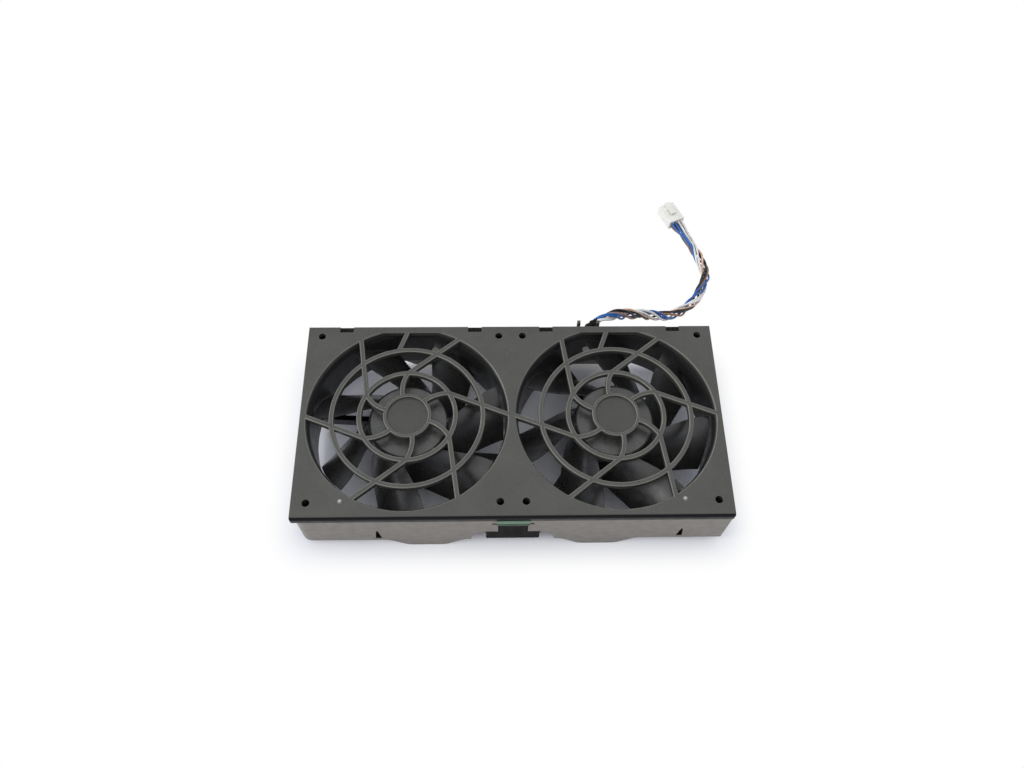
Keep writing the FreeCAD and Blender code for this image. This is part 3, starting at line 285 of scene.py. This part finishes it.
def carrier_material():
    """Grained black plastic with a little dust, and painted light and shade: paler walls below the lip,
    painted highlights along the rib top edges, painted shade on the lip's front edge and in the hollows,
    painted glints on the pips' tops.
    """
    nodes = plastic("carrier_plastic", (0.058, 0.058, 0.046), 0.36, grain=2.2, depth=0.012, worn=0.5,
                    dust=0.05, soft_edge=0.3)
    _, y, z = nodes.position()
    under_lip = nodes.between(z, LIP_BOTTOM + 0.1, LIP_BOTTOM - 0.3)
    # Painted light: the walls below the lip get a paler warm grey, patchy by noise, standing in for the light
    # the floor throws on them.
    uneven_painted_light = nodes.between(nodes.noise(0.12, 5.0, 0.6), 0.3, 0.75, 0.85, 1.0)
    painted_wall_light = nodes.math("MULTIPLY", under_lip, uneven_painted_light)
    base = nodes.mix(painted_wall_light, nodes.fed_by("Base Color"), (0.147, 0.124, 0.096))
    # Painted shade: a near-black band on the lip's rounded front edge, above the walls.
    lip = nodes.math("SUBTRACT", nodes.between(y, LIP_FACE + 1.8, LIP_FACE + 0.8), under_lip)
    upward = nodes.upward()
    # Painted shade: faces that look up, from one to over two millimetres below the plate's top, are made
    # near-black.
    painted_hollow_shade = nodes.math("MULTIPLY", nodes.between(upward, 0.5, 0.9),
                        nodes.between(z, PLATE_TOP - 1.0, PLATE_TOP - 2.4))
    # Painted highlight: a paler line along the rounded top edges of the ribs, patchy by the same noise.
    painted_rib_highlight = nodes.math("MULTIPLY", nodes.between(upward, 0.99, 0.9),
                       nodes.between(z, PLATE_TOP - 0.4, PLATE_TOP - 0.15))
    base = nodes.mix(nodes.math("MULTIPLY", painted_rib_highlight, uneven_painted_light), base, (0.20, 0.195, 0.165))
    # Painted shade on the lip band and in the hollows, with less sheen there too.
    dark = nodes.math("MAXIMUM", lip, painted_hollow_shade)
    base = nodes.mix(dark, base, (0.010, 0.010, 0.010))
    # Painted highlight: the top of each domed pip is made pale, as a glint.
    painted_pip_glint = nodes.between(z, PLATE_TOP + 0.35, PLATE_TOP + 0.55)
    nodes.set("Base Color", nodes.mix(painted_pip_glint, base, (0.46, 0.46, 0.44)))
    gloss = nodes.between(under_lip, 0.0, 1.0, 0.58, 0.65)
    nodes.set("Specular IOR Level", nodes.math("MULTIPLY", gloss, nodes.between(dark, 0.0, 1.0, 1.0, 0.2)))
    return nodes.material


def frame_material():
    """Black plastic with a sheen in the bore; the faces that look up get painted shade and less sheen."""
    nodes = plastic("frame_plastic", (0.025, 0.025, 0.025), 0.34, grain=1.8, depth=0.012, dust=0.012)
    # Painted shade: faces that look up, such as the frame's top under the plate, are made near-black.
    level = nodes.between(nodes.upward(), 0.85, 0.98)
    nodes.set("Base Color", nodes.mix(level, nodes.fed_by("Base Color"), (0.008, 0.008, 0.008)))
    nodes.set("Specular IOR Level", nodes.between(level, 0.0, 1.0, 0.5, 0.08))
    return nodes.material


def impeller_material():
    """Smooth black plastic with a little dust, and painted light on the faces that look up, such as the hub's
    flat top.
    """
    nodes = plastic("impeller_plastic", (0.021, 0.0205, 0.0195), 0.30, grain=0.8, depth=0.003, worn=0.5,
                    dust=0.01, specular=0.6, soft_edge=0.3)
    # Painted light: faces that look up are made paler, patchy by noise, standing in for the bright sky they
    # mirror.
    painted_lit_top = nodes.math("MULTIPLY", nodes.between(nodes.upward(), 0.97, 0.995),
                         nodes.between(nodes.noise(0.5, 5.0, 0.6), 0.25, 0.75, 0.6, 1.0))
    nodes.set("Base Color", nodes.mix(painted_lit_top, nodes.fed_by("Base Color"), (0.075, 0.075, 0.069)))
    return nodes.material


def pad_material():
    """Green pad with painted light on its top and painted shade on its front and other faces."""
    nodes = plastic("touch_pad", (0.24, 0.37, 0.265), 0.45, grain=1.8, depth=0.012, worn=0.2)
    _, y, _ = nodes.position()
    # Painted light and shade: faces that look up, back from the front edge, keep the pale green; all other
    # faces get a much deeper green.
    top = nodes.between(nodes.upward(), 0.2, 0.8)
    behind_front = nodes.between(y, PAD_FRONT + 0.3, PAD_FRONT + 0.8)
    pale = nodes.math("MULTIPLY", top, behind_front)
    nodes.set("Base Color", nodes.mix(pale, (0.031, 0.068, 0.041), nodes.fed_by("Base Color")))
    return nodes.material


def wire_material(name, colour):
    """Smooth insulation of one colour with darker smudges."""
    nodes = Nodes("wire_" + name)
    shade = nodes.between(nodes.noise(0.3, 3.0), 0.3, 0.7)
    base = nodes.mix(shade, times(colour, 0.8), colour)
    smudge = nodes.between(nodes.noise(0.8, 5.0, 0.7), 0.6, 0.8, 0.0, 0.35)
    nodes.set("Base Color", nodes.mix(smudge, base, times(colour, 0.5, 0.02)))
    nodes.set("Roughness", nodes.between(nodes.noise(1.2, 3.0), 0.3, 0.7, 0.32, 0.46))
    nodes.bump(nodes.noise(1.6, 3.0), 0.03)
    return nodes.material


def paint(node, material):
    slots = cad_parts[node].data.materials
    slots.clear()
    slots.append(material)


def paint_fans(piece, material):
    for side in ("left", "right"):
        paint(f"{side}_{piece}", material)


def spline_points(route):
    """Points along the smooth NURBS line that has the route's points as its control points."""
    curve = bpy.data.curves.new("route", "CURVE")
    curve.dimensions = "3D"
    spline = curve.splines.new("NURBS")
    spline.points.add(len(route) - 1)
    for point, place in zip(spline.points, route):
        point.co = (*(c * MM for c in place), 1.0)
    spline.order_u = 3
    spline.use_endpoint_u = True
    line = bpy.data.objects.new("route", curve)
    bpy.context.scene.collection.objects.link(line)
    bpy.context.view_layer.update()
    mesh = bpy.data.meshes.new_from_object(line.evaluated_get(bpy.context.evaluated_depsgraph_get()))
    points = np.array([vertex.co for vertex in mesh.vertices])
    bpy.data.objects.remove(line)
    bpy.data.meshes.remove(mesh)
    return points


def even_points(points, step):
    """Points a step apart along a line, and their distances from its start."""
    along = np.concatenate(([0.0], np.cumsum(np.linalg.norm(np.diff(points, axis=0), axis=1))))
    distances = np.linspace(0.0, along[-1], round(along[-1] / step))
    return np.stack([np.interp(distances, along, points[:, axis]) for axis in range(3)], axis=1), distances


def unit(vectors):
    return vectors / np.linalg.norm(vectors, axis=-1, keepdims=True)


def line_axes(points):
    """Heading, right and up at each point of a line that is never upright."""
    heading = unit(np.gradient(points, axis=0))
    right = unit(np.cross(heading, (0.0, 0.0, 1.0)))
    return heading, right, np.cross(right, heading)


def beside(centre, right, up, across, above):
    """A line beside another one, at distances to its right and above it."""
    return centre + across[:, None] * right + above[:, None] * up


def add_mesh(name, vertices, faces, slots, materials):
    mesh = bpy.data.meshes.new(name)
    mesh.from_pydata([tuple(vertex) for vertex in vertices], [], faces)
    for material in materials:
        mesh.materials.append(material)
    mesh.polygons.foreach_set("material_index", slots)
    mesh.polygons.foreach_set("use_smooth", [True] * len(mesh.polygons))
    piece = bpy.data.objects.new(name, mesh)
    bpy.context.scene.collection.objects.link(piece)
    return piece


def add_tubes(name, lines, radii, sides, materials):
    """One mesh of round tubes with closed ends along several lines, each with its own material.

    The radii are one number, or one for each point and side of a tube.
    """
    vertices = []
    faces = []
    slots = []
    angles = 2 * math.pi * np.arange(sides) / sides
    for slot, points in enumerate(lines):
        _, right, up = line_axes(points)
        first = len(vertices)
        reach = np.broadcast_to(radii, (len(points), sides))
        for ring in range(len(points)):
            for angle, radius in zip(angles, reach[ring]):
                outward = math.cos(angle) * right[ring] + math.sin(angle) * up[ring]
                vertices.append(points[ring] + radius * outward)
        for ring in range(len(points) - 1):
            here = first + ring * sides
            for side in range(sides):
                following = (side + 1) % sides
                faces.append((here + side, here + following, here + sides + following, here + sides + side))
        last = first + (len(points) - 1) * sides
        faces.append(tuple(first + side for side in reversed(range(sides))))
        faces.append(tuple(last + side for side in range(sides)))
        slots += [slot] * (len(faces) - len(slots))
    return add_mesh(name, vertices, faces, slots, materials)


def on_carrier(piece, replaced=None):
    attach(piece, "carrier")
    if replaced:
        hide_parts(replaced)


def cable_line():
    """The cable's middle line, its distances and axes, with a straight end inside the connector."""
    centre, distances = even_points(spline_points(CABLE_ROUTE), STRAND_STEP * MM)
    heading, right, up = line_axes(centre)
    inside = PLUG_IN * MM * np.array([0.5, 1.0])
    centre = np.concatenate((centre, centre[-1] + heading[-1] * inside[:, None]))
    distances = np.concatenate((distances, distances[-1] + inside))
    right = np.concatenate((right, np.repeat(right[-1:], 2, axis=0)))
    up = np.concatenate((up, np.repeat(up[-1:], 2, axis=0)))
    return centre, distances, right, up


def strand_lines():
    """Eight loosely twisted wires that each end in a hole of the connector."""
    centre, distances, right, up = cable_line()
    length = distances[-1] - PLUG_IN * MM
    share = distances / length
    twist = 2 * math.pi * np.maximum(length - STRAND_STRAIGHT * MM - distances, 0.0) / (STRAND_LAY * MM)
    spread = np.clip((distances - length) / (FAN_OUT * MM) + 1.0, 0.0, 1.0)
    spread = spread * spread * (3.0 - 2.0 * spread)
    gather = np.clip(distances / (2 * WRAP_LENGTH * MM), 0.5, 1.0)
    count = len(STRAND_COLOURS)
    columns = count // 2
    lines = []
    for index in range(count):
        rest = 2 * math.pi * (index + 0.5) / count
        wander = np.sin(2 * math.pi * (share * (2.3 + 0.37 * index) + 0.31 * index))
        sway = np.sin(2 * math.pi * (share * (1.7 + 0.29 * index) + 0.53 * index))
        turn = rest + twist + math.radians(STRAND_SWAY) * sway
        ring = gather * (STRAND_RING + STRAND_WANDER * wander) * MM
        upper = index < columns
        column = columns - 1 - index if upper else index - columns
        hole_across = (column - (columns - 1) / 2) * CONTACT_PITCH * MM
        hole_above = (CONTACT_PITCH if upper else -CONTACT_PITCH) / 2 * MM
        across = (1.0 - spread) * ring * np.cos(turn) + spread * hole_across
        above = (1.0 - spread) * ring * np.sin(turn) + spread * hole_above
        line = beside(centre, right, up, across, above)
        line[:, 2] = np.maximum(line[:, 2], STRAND_RADIUS * MM)
        lines.append(line)
    return centre, lines


def add_wrap():
    """Creased tape wound round the start of the cable, each turn lapping over the last."""
    centre, distances = even_points(spline_points(CABLE_ROUTE), WRAP_STEP * MM)
    wrapped = distances <= WRAP_LENGTH * MM
    share = distances[wrapped, None] / (WRAP_LENGTH * MM)
    around = np.arange(WRAP_SIDES) / WRAP_SIDES
    turns = share * WRAP_LENGTH / WRAP_PITCH + around
    folds = np.sin(2 * math.pi * (2 * around + 2.7 * share))
    creases = folds * np.sin(2 * math.pi * (3 * around - 1.9 * share))
    taper = WRAP_RADIUS + (WRAP_END_RADIUS - WRAP_RADIUS) * share ** 3
    radii = (taper - WRAP_LAP * (turns % 1.0) + WRAP_CREASE * creases) * MM
    tape = plastic("wrap_tape", (0.006, 0.006, 0.006), 0.55, grain=1.5, depth=0.03, worn=0.1, specular=0.12)
    wrap = add_tubes("cable_wrap", [centre[wrapped]], radii, WRAP_SIDES, [tape.material])
    on_carrier(wrap)
    return wrap


def add_cable(wires):
    centre, lines = strand_lines()
    cable = add_tubes("cable_wires", lines, STRAND_RADIUS * MM, STRAND_SIDES,
                      [wires[name] for name in STRAND_COLOURS])
    on_carrier(cable, "cable_bundle")
    wrap = add_wrap()


def lead_route(side, axis, split):
    """Control points of one fan's lead, from its board to its place at the start of the cable."""
    angle = math.radians(LEAD_ANGLES[side])
    route = []
    for radius, height in LEAD_STARTS:
        route.append((axis + radius * math.cos(angle), radius * math.sin(angle), height))
    start, following = (Vector(point) for point in CABLE_ROUTE[:2])
    heading = (following - start).normalized()
    across = (Vector((0, 0, 1)) - heading * heading.z).normalized()
    end = start + across * split
    return route + [*LEAD_BENDS[side], end - heading * LEAD_MERGE, end]


def add_lead(side, axis, split, wires):
    """Four thin twisted wires in place of one fan's lead."""
    centre, distances = even_points(spline_points(lead_route(side, axis, split)), LEAD_STEP * MM)
    _, right, up = line_axes(centre)
    lines = []
    for index in range(len(LEAD_COLOURS)):
        turn = 2 * math.pi * (index / len(LEAD_COLOURS) + distances / (LEAD_LAY * MM))
        across = LEAD_RING * MM * np.cos(turn)
        above = LEAD_RING * MM * np.sin(turn)
        lines.append(beside(centre, right, up, across, above))
    lead = add_tubes(f"{side}_lead_wires", lines, LEAD_WIRE * MM, LEAD_SIDES,
                     [wires[name] for name in LEAD_COLOURS])
    on_carrier(lead, f"{side}_fan_lead")


def add_wires():
    wires = {
        "black": wire_material("black", (0.014, 0.014, 0.015)),
        "white": wire_material("white", (0.86, 0.85, 0.82)),
        "blue": wire_material("blue", (0.022, 0.135, 0.44)),
        "brown": wire_material("brown", (0.36, 0.18, 0.085)),
        "tan": wire_material("tan", (0.74, 0.50, 0.35)),
    }
    add_cable(wires)
    add_lead("left", -FAN_X, LEAD_SPLIT, wires)
    add_lead("right", FAN_X, -LEAD_SPLIT, wires)


def paint_solids():
    paint("carrier", carrier_material())
    latch = plastic("latch_plastic", (0.004, 0.0039, 0.0036), 0.5, worn=0.1, specular=0.03)
    paint("latch_lever", latch.material)
    paint("latch_touch_pad", pad_material())
    housing = plastic("connector_plastic", (0.92, 0.91, 0.81), 0.4, grain=1.2, depth=0.01, worn=0.1)
    paint("connector_housing", housing.material)
    paint("connector_terminals", metal("contacts", (0.75, 0.72, 0.65), 0.3, 3.0, 0.004))
    paint_fans("fan_frame", frame_material())
    paint_fans("impeller", impeller_material())
    steel = metal("bearing_steel", (0.6, 0.6, 0.6), 0.25, 5.0, 0.003)
    for piece in ("bearing_outer_rings", "bearing_inner_rings", "rotor_shaft", "preload_spring",
                  "shaft_clip"):
        paint_fans(piece, steel)
    paint_fans("bearing_tube", metal("brass", (0.7, 0.52, 0.24), 0.3, 4.0, 0.004))
    paint_fans("stator_core", metal("core_steel", (0.3, 0.3, 0.31), 0.45, 1.4, 0.06))
    paint_fans("stator_windings", metal("copper", (0.65, 0.3, 0.14), 0.35, 1.8, 0.1))
    paint_fans("rotor_yoke", metal("yoke_steel", (0.45, 0.45, 0.46), 0.4, 2.0, 0.01))
    insulator = plastic("insulator", (0.7, 0.68, 0.6), 0.45, grain=1.2, depth=0.01, worn=0.1)
    paint_fans("stator_insulator", insulator.material)
    board = plastic("board", (0.05, 0.2, 0.08), 0.4, grain=1.0, depth=0.03, worn=0.1)
    paint_fans("circuit_board", board.material)
    chips = plastic("chips", (0.02, 0.02, 0.02), 0.5, depth=0.01, worn=0.2)
    paint_fans("board_chips", chips.material)
    magnet = plastic("magnet", (0.05, 0.05, 0.05), 0.6, depth=0.02, worn=0.2)
    paint_fans("ring_magnet", magnet.material)


def add_floor():
    """Pale floor that keeps the shadow near the part and shows plain white further out."""
    bpy.ops.mesh.primitive_plane_add(size=FLOOR_SIZE * MM)
    floor = bpy.context.object
    floor.name = "floor"
    nodes = Nodes("floor_white")
    x, y, _ = nodes.position()
    past = []
    for place, half in ((x, SHADE_HALF_WIDTH), (y, SHADE_HALF_DEPTH)):
        beyond = nodes.math("SUBTRACT", nodes.math("ABSOLUTE", place), half)
        past.append(nodes.math("MAXIMUM", beyond))
    apart = nodes.add("ShaderNodeCombineXYZ", {0: past[0], 1: past[1]}).outputs[0]
    distance = nodes.add("ShaderNodeVectorMath", {0: apart}, operation="LENGTH").outputs["Value"]
    outside = nodes.between(distance, 0.0, SHADE_FADE)
    light_path = nodes.add("ShaderNodeLightPath").outputs
    seen = nodes.math("MAXIMUM", light_path["Is Camera Ray"], light_path["Is Glossy Ray"])
    seen = nodes.math("MAXIMUM", seen, light_path["Is Transmission Ray"])
    white = nodes.math("MULTIPLY", outside, seen)
    pale = nodes.mix(nodes.noise(0.004, 2.0), (0.91, 0.915, 0.955), (0.93, 0.935, 0.975))
    nodes.set("Base Color", nodes.mix(white, pale, (0.0, 0.0, 0.0)))
    nodes.set("Emission Color", (1.0, 1.0, 1.0, 1.0))
    nodes.set("Emission Strength", white)
    nodes.set("Roughness", 0.75)
    nodes.set("Specular IOR Level", 0.0)
    floor.data.materials.append(nodes.material)


def add_area(name, place, target, size, power, colour):
    """A rectangular lamp that faces its target; lengths are metres and the power is watts."""
    data = bpy.data.lights.new(name, "AREA")
    data.shape = "RECTANGLE"
    data.size, data.size_y = size
    data.energy = power
    data.color = colour
    lamp = bpy.data.objects.new(name, data)
    bpy.context.scene.collection.objects.link(lamp)
    lamp.location = place
    lamp.rotation_euler = (Vector(target) - Vector(place)).to_track_quat("-Z", "Y").to_euler()


def add_light():
    """A large soft lamp overhead, a small key lamp, low panels behind and on the left, and a bluish room."""
    world = bpy.data.worlds.new("room")
    world.use_nodes = True
    background = world.node_tree.nodes["Background"]
    background.inputs["Color"].default_value = (0.78, 0.83, 1.0, 1.0)
    background.inputs["Strength"].default_value = 0.44
    bpy.context.scene.world = world
    add_area("overhead", (0.0, 0.0, 1.4), (0.0, 0.0, 0.0), (2.6, 2.4), 17.0, (1.0, 0.99, 0.95))
    add_area("key", (-0.93, -0.375, 1.1), (0.0, 0.0, 0.0), (0.4, 0.4), 3.2, (1.0, 0.99, 0.96))
    add_area("behind", (0.0, 1.5, 0.22), (0.0, 0.0, 0.0), (3.0, 0.4), 7.0, (0.95, 0.96, 1.0))
    add_area("window", (-1.4, 0.25, 0.32), (0.0, 0.0, 0.0), (1.3, 0.5), 6.0, (0.93, 0.95, 1.0))
    bpy.context.scene.view_settings.view_transform = "Standard"


add_camera()
paint_solids()
add_wires()
add_floor()
add_light()
